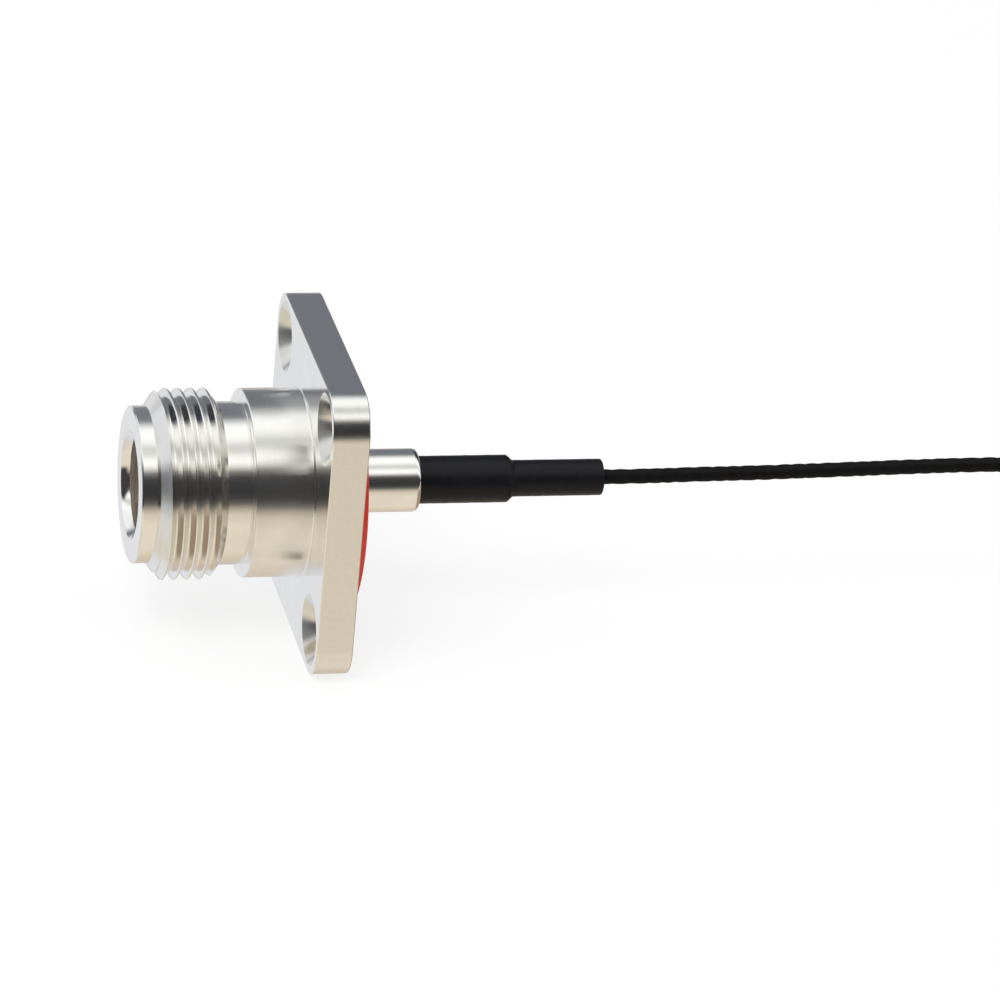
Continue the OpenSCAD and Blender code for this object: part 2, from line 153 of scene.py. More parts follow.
def lead_line(step):
    """From inside the heat shrink over the arch, down, twice round the coil and out."""
    x0 = shrink_hi.x
    along = (TIE_X - x0) / (LEAD_TO - LEAD_FROM)
    fall = TURN_HIGH / LEAD_DROP
    pts = [(x0 - LEAD_INSIDE, 0, 0), (x0, 0, 0)]
    pts += [(x0 + (x - LEAD_FROM) * along, 0, z * (MM if z > 0 else fall))
            for x, z in LEAD_POINTS]
    pts += [(tie_lo.x, 0, TURN_HIGH), (TIE_X, 0, TURN_HIGH)]
    line = catmull(pts, step)
    # the coil swings in from the tie, steps down after its first turn and swings out again
    wide = COIL_R + LEAD_D
    merge, drop = math.radians(75), math.radians(25)
    total = 2 * math.pi * COIL_TURNS
    n = round(total * COIL_R / step)
    for k in range(1, n + 1):
        a = total * k / n
        r = COIL_R
        if a < merge:
            r = wide - LEAD_D * smooth(a / merge)
        if a > total - merge:
            r = COIL_R + LEAD_D * smooth((a - total + merge) / merge)
        z = TURN_HIGH - LEAD_D * smooth((a - 2 * math.pi + drop) / (2 * drop))
        line.append(Vector((TIE_X + r * math.sin(a), COIL_Y + r * math.cos(a), z)))
    end = tail_hi.x
    n = round((end - TIE_X) / step)
    for k in range(1, n + 1):
        line.append(Vector((TIE_X + (end - TIE_X) * k / n, 0, TURN_LOW)))
    return line


def sweep(line, radius_at, sides):
    """A tube along a line: rings that don't twist, closed at both ends."""
    bm = bmesh.new()
    tangents = []
    for i in range(len(line)):
        a, b = line[max(i - 1, 0)], line[min(i + 1, len(line) - 1)]
        tangents.append((b - a).normalized())
    side = tangents[0].cross(Vector((0, 0, 1))).normalized()
    rings, along = [], 0.0
    for i, (p, t) in enumerate(zip(line, tangents)):
        if i:
            along += (p - line[i - 1]).length
            side = (side - side.dot(t) * t).normalized()
        up = side.cross(t)
        ring = []
        for k in range(sides):
            a = 2 * math.pi * k / sides
            r = radius_at(along, a)
            ring.append(bm.verts.new(p + r * (math.cos(a) * side + math.sin(a) * up)))
        rings.append(ring)
    for ra, rb in zip(rings, rings[1:]):
        for k in range(sides):
            bm.faces.new((ra[k], ra[(k + 1) % sides], rb[(k + 1) % sides], rb[k]))
    bm.faces.new(rings[0][::-1])
    bm.faces.new(rings[-1])
    bmesh.ops.recalc_face_normals(bm, faces=bm.faces)
    return bm


make_camera()

BRAID_PITCH = 2.8 * MM
STRANDS = 4
# How far the jacket lies below the lead's full radius, and the height of its ribs and lumps
JACKET_SINK, JACKET_RIB, JACKET_LUMP = 0.034 * MM, 0.026 * MM, 0.008 * MM
# Lengths over which strands and lumps wander, so that nothing repeats evenly
STRAND_WAVES = (6.1 * MM, 4.3 * MM)
LUMP_WAVES = (1.9 * MM, 3.3 * MM)


def wave(along, length, phase=0.0):
    return math.sin(2 * math.pi * along / length + phase)


def lead_radius(along, a):
    """The thin jacket follows the braid below it: two sets of crossing strands."""
    w = 2 * math.pi * along / BRAID_PITCH + 0.5 * wave(along, STRAND_WAVES[0])
    left = math.sin(STRANDS * a + 2 * w)
    right = math.sin(STRANDS * a - 2 * w + 0.7 * wave(along, STRAND_WAVES[1]))
    lump = wave(along, LUMP_WAVES[0], 2 * a) * wave(along, LUMP_WAVES[1], -a)
    return LEAD_D / 2 - JACKET_SINK + JACKET_RIB * max(left, right) + JACKET_LUMP * lump


lead_path = lead_line(LEAD_STEP)
lead = new_object("lead", sweep(lead_path, lead_radius, LEAD_SIDES))
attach(lead, BODY)
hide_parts("cable", "cable_coil", "cable_tail")


# ---------------------------------------------------------------- turned and milled metal
def lathe(bm, profile, sides, close=False):
    """Rings of a profile of (x, r) turned about the X axis, joined by faces."""
    rings = []
    for x, r in profile:
        rings.append([bm.verts.new((x, r * math.cos(2 * math.pi * k / sides),
                                    r * math.sin(2 * math.pi * k / sides)))
                      for k in range(sides)])
    pairs = list(zip(rings, rings[1:]))
    if close:
        pairs.append((rings[-1], rings[0]))
    for ra, rb in pairs:
        for k in range(sides):
            bm.faces.new((ra[k], ra[(k + 1) % sides], rb[(k + 1) % sides], rb[k]))
    return rings


SIDES = 192
# The thread, 5/8-24: FLANK is half the width of a groove at the crests
THREAD_R = 7.9375 * MM
PITCH = 1.0583 * MM
FLANK = 0.3675 * PITCH
ROOT_R = THREAD_R - FLANK / math.tan(math.radians(30))
BARREL_R = 7.87 * MM
NECK_R = 6.775 * MM
RIM_R = 6.52 * MM
FLANGE_T = 3.04 * MM
FRONT = shell_lo.x
THREAD_FRONT = FRONT + 1.3 * MM
THREAD_LEAD = 0.95 * MM
RUN_OUT = 0.8 * MM
BARREL_FRONT = -FLANGE_T - 4.86 * MM
NECK_FRONT = BARREL_FRONT - 2.1 * MM
THREAD_SHIFT = 0.43 * MM
LEAD_SLICES, RUN_OUT_SLICES = 14, 28
# The V in shares of the pitch: where its crest ends, where its root starts, and their rounding
CREST, ROOT, ROUND = 0.0625, 0.43, 0.0325
# The mouth: bore down to the reference plane, its lip, and the smaller bore of the insulator
BORE_R, BORE_DEPTH = 4.065 * MM, 9.1 * MM
LIP_R, LIP_DEPTH, LIP_BREAK = 4.56 * MM, 0.64 * MM, 0.03 * MM
BEAD_R, BEAD_LEN = 3.5 * MM, 1.2 * MM
# The rear sleeve: pressed-in head, spigot, and the stem under the ferrule
HEAD_R, HEAD_FRONT = 4.5 * MM, -3.0 * MM
SPIGOT_R, SPIGOT_ROUND = 2.655 * MM, 0.45 * MM
POT_R, POT_END = 1.6 * MM, 1.5 * MM
STEM_R, STEM_BORE = 0.85 * MM, 0.4 * MM
# The flange: corners, breaks of its edges, fillet to the barrel, holes and seal groove
CORNER_R = 3.3 * MM
EDGE = 0.07 * MM
FILLET = 0.16 * MM
BARREL_EDGE = 0.14 * MM
HOLE_AT, HOLE_R, HOLE_SIDES = 9.13 * MM, 1.6 * MM, 72
SINK_R, SINK_DEPTH = 3.0 * MM, 1.4 * MM
GROOVE_IN, GROOVE_OUT = 9.41 * MM, 11.09 * MM
# Distances of the points that round the rim's front edge, from one end to the other
RIM_BREAK = (0.0, 0.02 * MM, 0.11 * MM, 0.135 * MM)
SEAL_IN, SEAL_ROUND = 9.45 * MM, 0.16 * MM


def thread_profile(s):
    """Radius of the V thread at a phase s of the pitch; rounded crest at 0, root at 0.5."""
    s = abs((s + 0.5) % 1.0 - 0.5)
    slope = (THREAD_R - ROOT_R) / (ROOT - CREST)
    if s <= CREST - ROUND:
        return THREAD_R
    if s < CREST + ROUND:
        return THREAD_R - slope * (s - CREST + ROUND) ** 2 / (4 * ROUND)
    if s <= ROOT - ROUND / 2:
        return THREAD_R - slope * (s - CREST)
    if s < ROOT + ROUND / 2:
        return ROOT_R + slope * (ROOT + ROUND / 2 - s) ** 2 / (2 * ROUND)
    return ROOT_R


def make_thread():
    """The right-hand helical thread, cut at both ends, with its lead-in and run-out."""
    x0, x1 = THREAD_FRONT, NECK_FRONT
    marks = [0.0, CREST - ROUND, CREST - ROUND / 2, CREST, CREST + ROUND / 2, CREST + ROUND,
             0.16, 0.25, 0.34, ROOT - ROUND / 2, ROOT, ROOT + ROUND / 2, 0.475]
    marks = sorted(marks + [0.5] + [1 - m for m in marks[1:]])
    n = len(marks)
    bm = bmesh.new()
    rows = []
    for t in range(-2, math.ceil((x1 - x0) / PITCH) + 1):
        for m in marks:
            r = thread_profile(m)
            rows.append([bm.verts.new((x0 + THREAD_SHIFT + (t + m + k / SIDES) * PITCH,
                                       r * math.cos(2 * math.pi * k / SIDES),
                                       r * math.sin(2 * math.pi * k / SIDES)))
                         for k in range(SIDES)])
    for ra, rb in zip(rows, rows[1:]):
        for k in range(SIDES - 1):
            bm.faces.new((ra[k], ra[k + 1], rb[k + 1], rb[k]))
    # after one turn each row goes on in the row one pitch further
    for i in range(len(rows) - n - 1):
        bm.faces.new((rows[i][-1], rows[i + n][0], rows[i + n + 1][0], rows[i + 1][-1]))
    lead_in, run_out = x0 + THREAD_LEAD, x1 - RUN_OUT

    def cut(x, **clear):
        """New edges round the thread at station x."""
        geom = bm.verts[:] + bm.edges[:] + bm.faces[:]
        bmesh.ops.bisect_plane(bm, geom=geom, dist=1e-9, plane_co=(x, 0, 0),
                               plane_no=(1, 0, 0), **clear)

    cut(x0, clear_inner=True)
    cut(x1, clear_outer=True)
    for i in range(1, LEAD_SLICES + 1):
        cut(x0 + THREAD_LEAD * i / LEAD_SLICES)
    # the run-out's cone is nearly parallel to the last flank, so it is cut into fine slices
    for i in range(1, RUN_OUT_SLICES + 1):
        cut(x1 - RUN_OUT * i / RUN_OUT_SLICES)
    for v in bm.verts:
        x, r = v.co.x, math.hypot(v.co.y, v.co.z)
        limit = THREAD_R
        if x < lead_in:
            limit = RIM_R + (THREAD_R - RIM_R) * (x - x0) / THREAD_LEAD
        if x > run_out:
            limit = NECK_R + (THREAD_R - NECK_R) * (x1 - x) / RUN_OUT
        if r > limit:
            v.co.y *= limit / r
            v.co.z *= limit / r
    bm.normal_update()
    if sum(f.normal.y * f.calc_center_median().y + f.normal.z * f.calc_center_median().z
           for f in bm.faces) < 0:
        bmesh.ops.reverse_faces(bm, faces=bm.faces)
    return new_object("thread", bm)


def arc(cx, cr, radius, a0, a1, n):
    """Points (x, r) on an arc, angles in degrees."""
    return [(cx + radius * math.cos(math.radians(a0 + (a1 - a0) * i / n)),
             cr + radius * math.sin(math.radians(a0 + (a1 - a0) * i / n)))
            for i in range(n + 1)]


def loop_square(x, half, radius, corner=24):
    """Outline of the rounded square at station x."""
    pts = []
    for q in range(4):
        cx = (half - radius) * (1 if q in (0, 3) else -1)
        cy = (half - radius) * (1 if q in (0, 1) else -1)
        for i in range(corner + 1):
            a = math.radians(90 * q + 90 * i / corner)
            pts.append(Vector((x, cx + radius * math.cos(a), cy + radius * math.sin(a))))
    return pts


def loop_circle(x, cy, cz, r, n):
    """Outline of a circle at station x."""
    return [Vector((x, cy + r * math.cos(2 * math.pi * k / n),
                    cz + r * math.sin(2 * math.pi * k / n))) for k in range(n)]


def add_loop(bm, pts):
    return [bm.verts.new(p) for p in pts]


def bridge(bm, la, lb):
    """Faces between two closed loops with as many vertices each."""
    n = len(la)
    for k in range(n):
        bm.faces.new((la[k], la[(k + 1) % n], lb[(k + 1) % n], lb[k]))


def fill(bm, loops):
    """A flat face with holes, from closed loops of vertices."""
    edges = []
    for lp in loops:
        for k in range(len(lp)):
            a, b = lp[k], lp[(k + 1) % len(lp)]
            e = bm.edges.get((a, b)) or bm.edges.new((a, b))
            edges.append(e)
    bmesh.ops.triangle_fill(bm, use_beauty=True, use_dissolve=False, edges=edges,
                            normal=(1, 0, 0))


def make_jack():
    """The jack's outside, mouth and flange; the thread is made apart and joined to it."""
    bm = bmesh.new()
    half = shell_hi.y
    # mouth, rim and the plain outside up to the thread
    ref = FRONT + BORE_DEPTH
    rim = [(FRONT + u, RIM_R - v) for u, v in zip(RIM_BREAK, RIM_BREAK[::-1])]
    rings_in = lathe(bm, [
        (0.0, HEAD_R + EDGE), (-EDGE, HEAD_R), (ref + BEAD_LEN, HEAD_R),
        (ref + BEAD_LEN, BEAD_R), (ref + EDGE, BEAD_R), (ref, BEAD_R + EDGE),
        (ref, BORE_R), (FRONT + LIP_DEPTH + 0.06 * MM, BORE_R),
        (FRONT + LIP_DEPTH, BORE_R + 0.02 * MM), (FRONT + LIP_BREAK, LIP_R - LIP_BREAK),
        (FRONT, LIP_R)] + rim + [(THREAD_FRONT, RIM_R)], SIDES)
    outer = arc(BARREL_FRONT + BARREL_EDGE, BARREL_R - BARREL_EDGE, BARREL_EDGE, 180, 90, 5)
    cove = arc(-FLANGE_T - FILLET, BARREL_R + FILLET, FILLET, 270, 360, 6)
    rings_out = lathe(bm, [
        (NECK_FRONT, NECK_R), (BARREL_FRONT - 0.05 * MM, NECK_R),
        (BARREL_FRONT, NECK_R + 0.05 * MM)] + outer + cove, SIDES)
    # flange: front face with holes, rim, rear face with the seal groove
    front_loop = add_loop(bm, loop_square(-FLANGE_T, half - EDGE, CORNER_R - EDGE))
    side_front = add_loop(bm, loop_square(-FLANGE_T + EDGE, half, CORNER_R))
    side_rear = add_loop(bm, loop_square(-EDGE, half, CORNER_R))
    rear_loop = add_loop(bm, loop_square(0, half - EDGE, CORNER_R - EDGE))
    bridge(bm, front_loop, side_front)
    bridge(bm, side_front, side_rear)
    bridge(bm, side_rear, rear_loop)
    front_holes, rear_holes = [], []
    stations = [(-FLANGE_T, SINK_R), (-FLANGE_T + 0.02 * MM, SINK_R - 0.03 * MM),
                (-FLANGE_T + SINK_DEPTH, HOLE_R), (-EDGE, HOLE_R), (0, HOLE_R + EDGE)]
    for u in (-1, 1):
        for v in (-1, 1):
            loops = [add_loop(bm, loop_circle(x, u * HOLE_AT, v * HOLE_AT, r, HOLE_SIDES))
                     for x, r in stations]
            for a, b in zip(loops, loops[1:]):
                bridge(bm, a, b)
            front_holes.append(loops[0])
            rear_holes.append(loops[-1])
    fill(bm, [front_loop, rings_out[-1]] + front_holes)
    groove = lathe(bm, [(0, GROOVE_IN - EDGE), (-EDGE, GROOVE_IN), (seal_lo.x, GROOVE_IN),
                        (seal_lo.x, GROOVE_OUT), (-EDGE, GROOVE_OUT),
                        (0, GROOVE_OUT + EDGE)], SIDES)
    fill(bm, [rear_loop, groove[-1]] + rear_holes)
    bridge(bm, groove[0], rings_in[0])
    bmesh.ops.remove_doubles(bm, verts=bm.verts, dist=1e-7)
    bmesh.ops.dissolve_degenerate(bm, dist=1e-7, edges=bm.edges)
    bmesh.ops.recalc_face_normals(bm, faces=bm.faces)
    return new_object("jack_shell", bm)


jack = make_jack()
thread = make_thread()
bm = bmesh.new()
bm.from_mesh(jack.data)
bm.from_mesh(thread.data)
bm.to_mesh(jack.data)
bm.free()
bpy.data.objects.remove(thread)
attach(jack, BODY)
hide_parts("jack_body")


# ---------------------------------------------------------------- sleeve, seal and heat shrink
def make_sleeve():
    """Spigot with its rounded end; the head and the stem behind it are hidden."""
    bm = bmesh.new()
    length = shrink_lo.x
    lathe(bm, [(HEAD_FRONT, POT_R), (HEAD_FRONT, HEAD_R), (0.0, HEAD_R),
               (0.0, SPIGOT_R + 0.05 * MM), (0.05 * MM, SPIGOT_R)]
          + arc(length - SPIGOT_ROUND, SPIGOT_R - SPIGOT_ROUND, SPIGOT_ROUND, 90, 0, 12)
          + [(length, STEM_R), (sleeve_hi.x, STEM_R), (sleeve_hi.x, STEM_BORE),
             (POT_END, STEM_BORE), (POT_END, POT_R)], 128, close=True)
    bmesh.ops.recalc_face_normals(bm, faces=bm.faces)
    return new_object("spigot_sleeve", bm)


def make_seal():
    """The ring of square section with its two rear edges rounded."""
    bm = bmesh.new()
    outer, r = seal_hi.y, SEAL_ROUND
    lathe(bm, [(seal_lo.x, SEAL_IN), (seal_lo.x, outer)]
          + arc(seal_hi.x - r, outer - r, r, 90, 0, 6)
          + arc(seal_hi.x - r, SEAL_IN + r, r, 0, -90, 6), 160, close=True)
    bmesh.ops.recalc_face_normals(bm, faces=bm.faces)
    return new_object("seal_ring", bm)


# The heat shrink: radius of its thin step, length of its shoulder, and the fits inside it
THIN_R = 1.545 * MM
SHOULDER = 0.7 * MM
FERRULE_FIT, FILLER_FIT = 1.75 * MM, 1.25 * MM
# How far each step lies below its full radius, how much it wavers, and its number of stations
THICK_SINK, THICK_WAVER, THICK_STATIONS = 0.012 * MM, 0.008 * MM, 22
THIN_SINK, THIN_WAVER, THIN_STATIONS = 0.006 * MM, 0.006 * MM, 26


def make_shrink():
    """The shrunk tube: it follows the ferrule and the filler sleeve with soft shoulders."""
    bm = bmesh.new()
    x0, x1 = shrink_lo.x, shrink_hi.x
    step = ferrule_hi.x
    thick = shrink_hi.z
    prof = [(x0, FERRULE_FIT + 0.01 * MM), (x0, thick - 0.09 * MM),
            (x0 + 0.05 * MM, thick - 0.03 * MM), (x0 + 0.14 * MM, thick - 0.01 * MM)]
    for k in range(1, THICK_STATIONS):
        x = x0 + 0.14 * MM + (step - x0 - 0.3 * MM) * k / THICK_STATIONS
        waver = math.sin(k * 1.7) * math.sin(k * 0.63)
        prof.append((x, thick - THICK_SINK + THICK_WAVER * waver))
    for k in range(0, 11):
        t = k / 10
        prof.append((step - 0.1 * MM + SHOULDER * t, thick - THICK_SINK
                     - (thick - THICK_SINK - THIN_R) * smooth(t)))
    x2 = step - 0.1 * MM + SHOULDER
    for k in range(1, THIN_STATIONS):
        x = x2 + (x1 - 0.16 * MM - x2) * k / THIN_STATIONS
        waver = math.sin(k * 1.3 + 1) * math.cos(k * 0.41)
        prof.append((x, THIN_R - THIN_SINK + THIN_WAVER * waver))
    prof += [(x1 - 0.12 * MM, THIN_R - 0.008 * MM), (x1 - 0.04 * MM, THIN_R - 0.03 * MM),
             (x1, THIN_R - 0.09 * MM), (x1, FILLER_FIT), (step, FILLER_FIT),
             (step, FERRULE_FIT)]
    lathe(bm, prof, 96, close=True)
    bmesh.ops.recalc_face_normals(bm, faces=bm.faces)
    return new_object("shrink_tube", bm)


sleeve, seal, shrink = make_sleeve(), make_seal(), make_shrink()
for obj, node, slot in ((sleeve, "rear_sleeve", "nickel"), (seal, "flange_seal", "silicone"),
                        (shrink, "heat_shrink", "heat_shrink")):
    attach(obj, BODY)
    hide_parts(node)


# ---------------------------------------------------------------- materials
class Nodes:
    """A material's node tree with short helpers."""

    def __init__(self, name):
        self.mat = bpy.data.materials.new(name)
        self.mat.use_nodes = True
        self.tree = self.mat.node_tree
        self.bsdf = next(n for n in self.tree.nodes if n.type == "BSDF_PRINCIPLED")
        self.coord = self.new("ShaderNodeTexCoord").outputs["Object"]

    def new(self, kind, **props):
        node = self.tree.nodes.new(kind)
        for key, value in props.items():
            setattr(node, key, value)
        return node

    def link(self, a, b):
        self.tree.links.new(a, b)

    def scaled(self, sx, sy, sz):
        node = self.new("ShaderNodeMapping")
        node.inputs["Scale"].default_value = (sx, sy, sz)
        self.link(self.coord, node.inputs["Vector"])
        return node.outputs["Vector"]

    def noise(self, vector, scale, detail=3.0, rough=0.5):
        node = self.new("ShaderNodeTexNoise")
        node.inputs["Scale"].default_value = scale
        node.inputs["Detail"].default_value = detail
        node.inputs["Roughness"].default_value = rough
        self.link(vector, node.inputs["Vector"])
        return node.outputs["Fac"]

    def mapped(self, value, a, b, lo=0.0, hi=1.0):
        node = self.new("ShaderNodeMapRange")
        node.inputs["From Min"].default_value = lo
        node.inputs["From Max"].default_value = hi
        node.inputs["To Min"].default_value = a
        node.inputs["To Max"].default_value = b
        self.link(value, node.inputs["Value"])
        return node.outputs["Result"]

    def ramp(self, value, stops):
        node = self.new("ShaderNodeValToRGB")
        els = node.color_ramp.elements
        while len(els) > 1:
            els.remove(els[-1])
        els[0].position, els[0].color = stops[0][0], (*stops[0][1], 1)
        for pos, col in stops[1:]:
            e = els.new(pos)
            e.color = (*col, 1)
        self.link(value, node.inputs["Fac"])
        return node.outputs["Color"]

    def bump(self, height, strength, distance):
        node = self.new("ShaderNodeBump")
        node.inputs["Strength"].default_value = strength
        node.inputs["Distance"].default_value = distance
        self.link(height, node.inputs["Height"])
        return node.outputs["Normal"]

    def set(self, **values):
        names = {"metallic": "Metallic", "specular": "Specular IOR Level"}
        for key, value in values.items():
            self.bsdf.inputs[names[key]].default_value = value


NICKEL = (0.86, 0.855, 0.83)


def tint(c, k):
    return tuple(min(1.0, v * k) for v in c)


def turned(name):
    """Plate with a faint haze, and the tool lines round the axis that it lies on."""
    m = Nodes(name)
    m.set(metallic=1.0)
    haze = m.noise(m.scaled(1, 1, 1), 420, 3)
    m.link(m.ramp(haze, [(0.3, tint(NICKEL, 0.96)), (0.7, tint(NICKEL, 1.03))]),
           m.bsdf.inputs["Base Color"])
    return m, m.noise(m.scaled(9000, 60, 60), 1.0, 4, 0.6)


def turned_nickel():
    """Bright plate over finely turned brass."""
    m, rings = turned("turned_nickel")
    m.link(m.mapped(rings, 0.07, 0.12, 0.3, 0.7), m.bsdf.inputs["Roughness"])
    m.link(m.bump(rings, 0.08, 0.00002), m.bsdf.inputs["Normal"])
    return m.mat


def barrel_nickel():
    """The barrel's coarser tool lines draw reflections out along the axis."""
    m, rings = turned("barrel_nickel")
    m.link(m.mapped(rings, 0.18, 0.23, 0.3, 0.7), m.bsdf.inputs["Roughness"])
    around = m.new("ShaderNodeTangent", direction_type="RADIAL", axis="X")
    m.link(around.outputs["Tangent"], m.bsdf.inputs["Tangent"])
    m.bsdf.inputs["Anisotropic"].default_value = 0.93
    m.bsdf.inputs["Anisotropic Rotation"].default_value = 0.25
    return m.mat


def milled_nickel():
    """The flange's sawn and milled sides: satin, with a fine speckle."""
    m = Nodes("milled_nickel")
    m.set(metallic=1.0)
    grain = m.noise(m.scaled(1, 1, 1), 2600, 4, 0.65)
    m.link(m.ramp(grain, [(0.3, tint(NICKEL, 0.91)), (0.7, tint(NICKEL, 0.97))]),
           m.bsdf.inputs["Base Color"])
    m.link(m.mapped(grain, 0.10, 0.18, 0.3, 0.7), m.bsdf.inputs["Roughness"])
    m.link(m.bump(grain, 0.12, 0.00002), m.bsdf.inputs["Normal"])
    return m.mat


def sunk_nickel():
    """The screw holes and the thread's run-out: satin plate over a rougher cut."""
    m = Nodes("sunk_nickel")
    m.set(metallic=0.95)
    grain = m.noise(m.scaled(1, 1, 1), 900, 2)
    m.link(m.ramp(grain, [(0.3, (0.76, 0.75, 0.69)), (0.7, (0.83, 0.82, 0.76))]),
           m.bsdf.inputs["Base Color"])
    m.link(m.mapped(grain, 0.17, 0.24, 0.3, 0.7), m.bsdf.inputs["Roughness"])
    return m.mat


def bore_nickel_painted_shade():
    """Inside the mouth: rings from the boring tool, and a darker, warmer colour as painted shade.
    """
    m = Nodes("bore_nickel_painted_shade")
    m.set(metallic=0.9)
    rings = m.noise(m.scaled(5000, 80, 80), 1.0, 3, 0.6)
    # darker and warmer than the outer plate: painted shade inside the mouth
    m.link(m.ramp(rings, [(0.3, (0.62, 0.55, 0.47)), (0.7, (0.80, 0.74, 0.66))]),
           m.bsdf.inputs["Base Color"])
    m.link(m.mapped(rings, 0.20, 0.34, 0.3, 0.7), m.bsdf.inputs["Roughness"])
    m.link(m.bump(rings, 0.15, 0.00003), m.bsdf.inputs["Normal"])
    return m.mat


def gold_plate():
    """Satin gold with a faint haze."""
    m = Nodes("gold_plate")
    gold = (0.86, 0.66, 0.30)
    m.set(metallic=1.0)
    haze = m.noise(m.scaled(1, 1, 1), 1500, 3)
    m.link(m.ramp(haze, [(0.3, tint(gold, 0.93)), (0.7, tint(gold, 1.05))]),
           m.bsdf.inputs["Base Color"])
    m.link(m.mapped(haze, 0.14, 0.24, 0.3, 0.7), m.bsdf.inputs["Roughness"])
    return m.mat


def plastic(name, colour, rough, grain, depth, spread=0.12, specular=0.5):
    """A plain surface with a fine grain in colour, gloss and height."""
    m = Nodes(name)
    m.set(specular=specular)
    n1 = m.noise(m.scaled(1, 1, 1), grain, 3)
    m.link(m.ramp(n1, [(0.3, tint(colour, 1 - spread)), (0.7, tint(colour, 1 + spread))]),
           m.bsdf.inputs["Base Color"])
    m.link(m.mapped(n1, rough - 0.05, rough + 0.06, 0.3, 0.7), m.bsdf.inputs["Roughness"])
    m.link(m.bump(n1, 0.3, depth), m.bsdf.inputs["Normal"])
    return m


nickel = turned_nickel()
milled = milled_nickel()
sunk = sunk_nickel()
bored = bore_nickel_painted_shade()
barrel = barrel_nickel()
gold = gold_plate()
ptfe = plastic("machined_ptfe", (0.86, 0.86, 0.84), 0.42, 2200, 0.00001, 0.03).mat
silicone = plastic("red_silicone", (0.80, 0.035, 0.022), 0.42, 1800, 0.00001, 0.08).mat
shrink_black = plastic("satin_shrink", (0.0054, 0.0056, 0.0078), 0.42, 1300, 0.000012, 0.15,
                       specular=0.22).mat
filler_black = plastic("filler_black", (0.02, 0.02, 0.02), 0.5, 1500, 0.00001).mat
lead_black = plastic("lead_jacket", (0.0050, 0.0050, 0.0056), 0.55, 2600, 0.00006, 0.25,
                     specular=0.12).mat
nylon_black = plastic("black_nylon", (0.012, 0.012, 0.012), 0.4, 1600, 0.00001).mat
copper = plastic("silvered_wire", (0.72, 0.56, 0.42), 0.25, 3000, 0.00001)
copper.set(metallic=1.0)
braid = plastic("tinned_braid", (0.7, 0.7, 0.7), 0.35, 4000, 0.00003)
braid.set(metallic=1.0)


def dress(obj, *materials):
    """These materials in place of the ones that the object has."""
    obj.data.materials.clear()
    for m in materials:
        obj.data.materials.append(m)


# The order of the jack's materials
TURNED, MILLED, SUNK, BORE_SHADE, BARREL = range(5)


def finish_of(c, n):
    """Which of the jack's materials a face with centre c and normal n has."""
    r = math.hypot(c.y, c.z)
    outside = math.hypot(abs(c.y) - HOLE_AT, abs(c.z) - HOLE_AT) > SINK_R + 0.15 * MM
    if NECK_FRONT - RUN_OUT < c.x < NECK_FRONT and n.x > 0.45 and r > NECK_R - 0.05 * MM:
        return SUNK
    if BARREL_FRONT < c.x < -FLANGE_T - 0.1 * MM and abs(n.x) < 0.1:
        return BARREL
    # the bore takes the material with painted shade
    if c.x > FRONT + 0.7 * MM and r < HEAD_R + 0.1 * MM:
        return BORE_SHADE
    if not outside and -FLANGE_T + 0.03 * MM < c.x < 0:
        return SUNK
    if abs(n.x) < 0.3 and -FLANGE_T < c.x < 0 and outside \
            and max(abs(c.y), abs(c.z)) > shell_hi.y - 1.0 * MM:
        return MILLED
    return TURNED


dress(jack, nickel, milled, sunk, bored, barrel)
for face in jack.data.polygons:
    face.material_index = finish_of(face.center, face.normal)
dress(sleeve, nickel)
dress(seal, silicone)
dress(shrink, shrink_black)
dress(lead, lead_black)
for name, mat in (("front_insulator", ptfe), ("centre_contact", gold), ("rear_insulator", ptfe),
                  ("crimp_ferrule", nickel), ("filler_sleeve", filler_black),
                  ("cable_conductor", copper.mat), ("cable_dielectric", ptfe),
                  ("cable_braid", braid.mat), ("coil_tie", nylon_black), ("plug_shell", gold),
                  ("plug_insulator", ptfe), ("plug_contact", gold)):
    dress(NODES[name], mat)

for name, width in (("coil_tie", 0.09 * MM), ("plug_shell", 0.035 * MM)):
    soft = NODES[name].modifiers.new("soft_edges", "BEVEL")
    soft.width = width
    soft.segments = 2
    soft.limit_method = "ANGLE"
    soft.angle_limit = math.radians(40)
    soft.harden_normals = True


def keep_flat(mesh):
    """Sharp edges round the faces square to the axis, so that their shading stays flat."""
    sides = {}
    for p in mesh.polygons:
        for key in p.edge_keys:
            sides.setdefault(key, set()).add(abs(p.normal.x) > 0.9999)
    for edge in mesh.edges:
        if len(sides.get(edge.key, ())) == 2:
            edge.use_edge_sharp = True


for obj in (jack, sleeve, seal, shrink):
    obj.data.set_sharp_from_angle(angle=math.radians(28))
    keep_flat(obj.data)
    even = obj.modifiers.new("even_normals", "WEIGHTED_NORMAL")
    even.mode = "FACE_AREA"
    even.weight = 60
    even.keep_sharp = True


# ---------------------------------------------------------------- studio
FLOOR_HALF, FLOOR_GAP = 8.0, 0.02 * MM
# How much of the floor's own white the camera sees instead of its shaded surface
FLOOR_WHITE = 0.82


